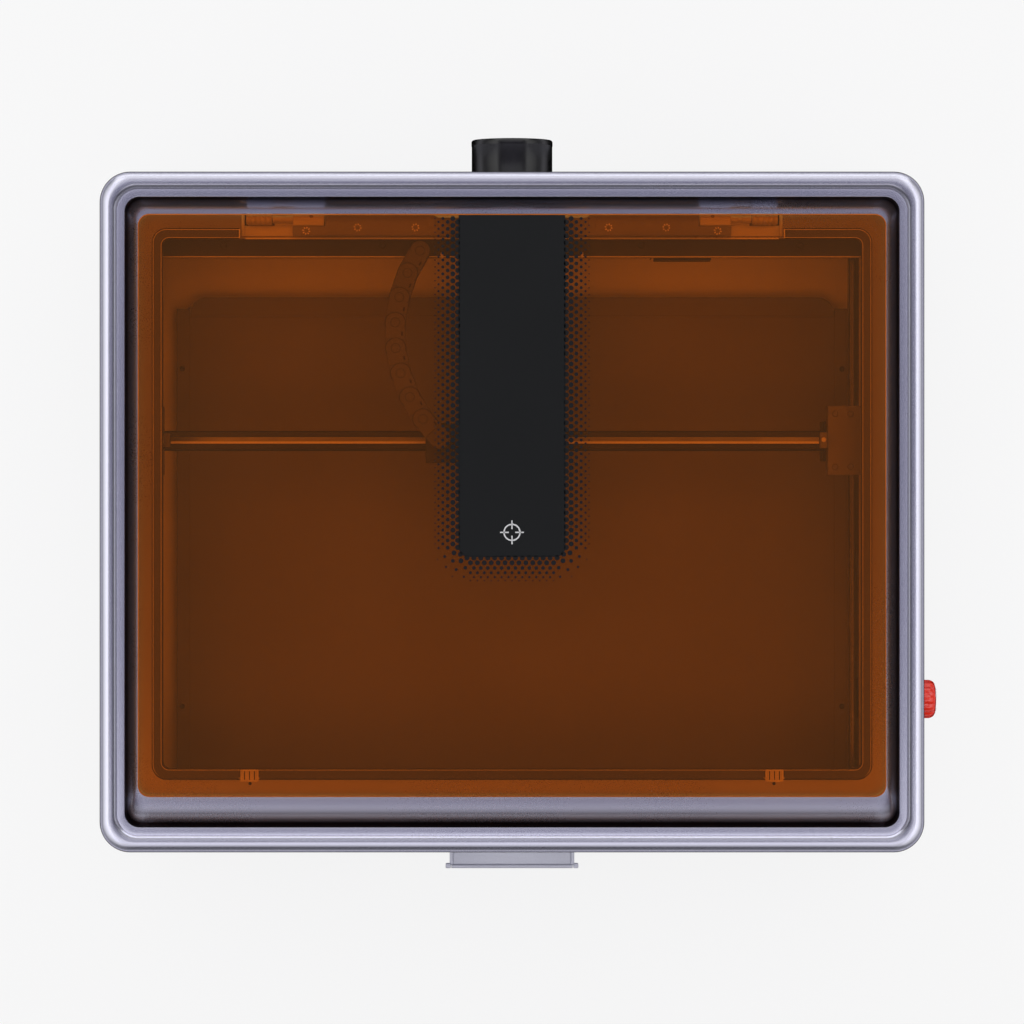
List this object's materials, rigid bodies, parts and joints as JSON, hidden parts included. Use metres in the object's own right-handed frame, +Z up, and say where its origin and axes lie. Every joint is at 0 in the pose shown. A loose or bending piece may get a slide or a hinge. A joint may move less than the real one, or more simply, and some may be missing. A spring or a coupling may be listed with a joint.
{
  "type": "laser engraver",
  "caption": "Enclosed desktop laser engraver: amber viewing lid, belt-driven gantry with laser head, pull-out bed, rear exhaust and side stop button.",
  "frame": {"origin": "on the floor, under the middle of the whole engraver's box", "axes": "+X to the right seen from the front (longest side), +Y to the back, +Z up"},
  "size_m": [0.5806, 0.516, 0.268],
  "materials": {
    "silver_metal": "satin lavender-silver anodised finish",
    "dark_metal": "black satin powder coat and anodising",
    "laser_housing": "black anodised aluminium with milled fins",
    "bare_steel": "ground and polished",
    "power_case": "plain perforated sheet",
    "brass_nozzle": "turned",
    "bed_metal": "dark anodised, fine grained",
    "black_plastic": "moulded, fine grain; the spigot is glossier",
    "button_plastic": "smooth",
    "rubber": "matt",
    "amber_acrylic": "clear amber cast acrylic, polished",
    "stop_yellow": "smooth moulded",
    "stop_red": "polished moulded",
    "circuit_board": "solder resist with components"
  },
  "bodies": {
    "chassis": {"base_pan": "dark_metal", "foot_front_left": "rubber", "foot_front_right": "rubber", "foot_rear_left": "rubber", "foot_rear_right": "rubber", "left_shell": "silver_metal", "right_shell": "silver_metal", "front_panel": "silver_metal", "rear_panel": "silver_metal", "deck_plate": "silver_metal", "rear_shelf": "dark_metal", "top_bezel": "silver_metal", "lid_gasket": "rubber", "hinge_barrel_left": "dark_metal", "hinge_barrel_right": "dark_metal", "exhaust_spigot": "black_plastic", "fan_housing": "black_plastic", "estop_body": "stop_yellow", "start_ring": "bare_steel", "power_inlet": "black_plastic", "power_supply": "power_case", "control_board": "circuit_board", "bed_rail_left": "bed_metal", "bed_rail_right": "bed_metal", "y_motor": "dark_metal", "y_rod_left": "bare_steel", "y_rod_right": "bare_steel", "y_belt_left": "rubber", "y_belt_right": "rubber", "y_idler_bracket_left": "dark_metal", "y_idler_bracket_right": "dark_metal", "drag_chain": "black_plastic"},
    "lid": {"lid_panel": "amber_acrylic", "lid_hinge_bar": "dark_metal", "lid_hinge_left": "bare_steel", "lid_hinge_right": "bare_steel"},
    "fan": {"fan_rotor": "black_plastic"},
    "stop_plunger": {"estop_plunger": "stop_red"},
    "stop_cap": {"estop_cap": "stop_red"},
    "start_key": {"start_button": "button_plastic"},
    "rocker": {"power_rocker": "black_plastic"},
    "drawer": {"work_bed": "bed_metal", "drawer_front": "silver_metal", "drawer_pull": "silver_metal"},
    "y_shaft": {"y_drive_shaft": "bare_steel"},
    "y_pulley_left": {"y_idler_left": "bare_steel"},
    "y_pulley_right": {"y_idler_right": "bare_steel"},
    "gantry": {"gantry_beam": "dark_metal", "x_guide_rail": "bare_steel", "y_carriage_left": "dark_metal", "y_carriage_right": "dark_metal", "x_motor": "dark_metal", "x_belt": "rubber"},
    "x_pulley_drive": {"x_drive_pulley": "bare_steel"},
    "x_pulley_idler": {"x_idler": "bare_steel"},
    "head": {"head_carriage": "dark_metal", "head_cable": "rubber"},
    "laser": {"laser_module": "laser_housing", "laser_nozzle": "brass_nozzle"},
    "focus_wheel": {"focus_knob": "black_plastic"}
  },
  "joints": [
    {"name": "lid_hinge", "type": "hinge", "parent": "chassis", "child": "lid", "pos_m": [-0.00675, 0.199, 0.2533], "axis": [-1, 0, 0], "range_deg": [0, 80]},
    {"name": "gantry_y", "type": "slide", "parent": "chassis", "child": "gantry", "axis": [0, 1, 0], "range_m": [-0.205, 0.095], "deforming": ["drag_chain"]},
    {"name": "y_drive_spin", "type": "hinge", "parent": "chassis", "child": "y_shaft", "pos_m": [-0.00675, 0.188, 0.165], "axis": [1, 0, 0], "range_deg": [-860, 1850]},
    {"name": "y_idler_left_spin", "type": "hinge", "parent": "chassis", "child": "y_pulley_left", "pos_m": [-0.27575, -0.203, 0.165], "axis": [1, 0, 0], "range_deg": [-860, 1850]},
    {"name": "y_idler_right_spin", "type": "hinge", "parent": "chassis", "child": "y_pulley_right", "pos_m": [0.25125, -0.203, 0.165], "axis": [1, 0, 0], "range_deg": [-860, 1850]},
    {"name": "head_x", "type": "slide", "parent": "gantry", "child": "head", "axis": [1, 0, 0], "range_m": [-0.185, 0.185], "deforming": ["head_cable"]},
    {"name": "x_drive_spin", "type": "hinge", "parent": "gantry", "child": "x_pulley_drive", "pos_m": [0.22625, 0.047, 0.174], "axis": [0, 0, 1], "range_deg": [-1670, 1670]},
    {"name": "x_idler_spin", "type": "hinge", "parent": "gantry", "child": "x_pulley_idler", "pos_m": [-0.25875, 0.047, 0.174], "axis": [0, 0, 1], "range_deg": [-1670, 1670]},
    {"name": "focus_slide", "type": "slide", "parent": "head", "child": "laser", "axis": [0, 0, 1], "range_m": [0, 0.025]},
    {"name": "focus_turn", "type": "hinge", "parent": "head", "child": "focus_wheel", "pos_m": [0.02125, 0.033, 0.203], "axis": [1, 0, 0], "range_deg": [0, 240]},
    {"name": "fan_spin", "type": "hinge", "parent": "chassis", "child": "fan", "pos_m": [-0.00675, 0.2045, 0.178], "axis": [0, 1, 0], "continuous": true},
    {"name": "stop_press", "type": "slide", "parent": "chassis", "child": "stop_plunger", "axis": [-1, 0, 0], "range_m": [0, 0.004]},
    {"name": "stop_twist", "type": "hinge", "parent": "stop_plunger", "child": "stop_cap", "pos_m": [0.28325, -0.134, 0.19], "axis": [1, 0, 0], "range_deg": [0, 45], "stiffness_Nm_per_rad": 0.02},
    {"name": "start_press", "type": "slide", "parent": "chassis", "child": "start_key", "axis": [0, 1, 0], "range_m": [0, 0.0025], "stiffness_N_per_m": 300},
    {"name": "power_rock", "type": "hinge", "parent": "chassis", "child": "rocker", "pos_m": [-0.18375, 0.227, 0.056], "axis": [1, 0, 0], "range_deg": [0, 20]},
    {"name": "drawer_slide", "type": "slide", "parent": "chassis", "child": "drawer", "axis": [0, -1, 0], "range_m": [0, 0.28]}
  ],
  "couplings": [
    {"joint": "y_drive_spin", "follows": "gantry_y", "rad_per_m": -157.08},
    {"joint": "y_idler_left_spin", "follows": "gantry_y", "rad_per_m": -157.08},
    {"joint": "y_idler_right_spin", "follows": "gantry_y", "rad_per_m": -157.08},
    {"joint": "x_drive_spin", "follows": "head_x", "rad_per_m": 157.08},
    {"joint": "x_idler_spin", "follows": "head_x", "rad_per_m": 157.08},
    {"joint": "focus_turn", "follows": "focus_slide", "rad_per_m": 160}
  ]
}
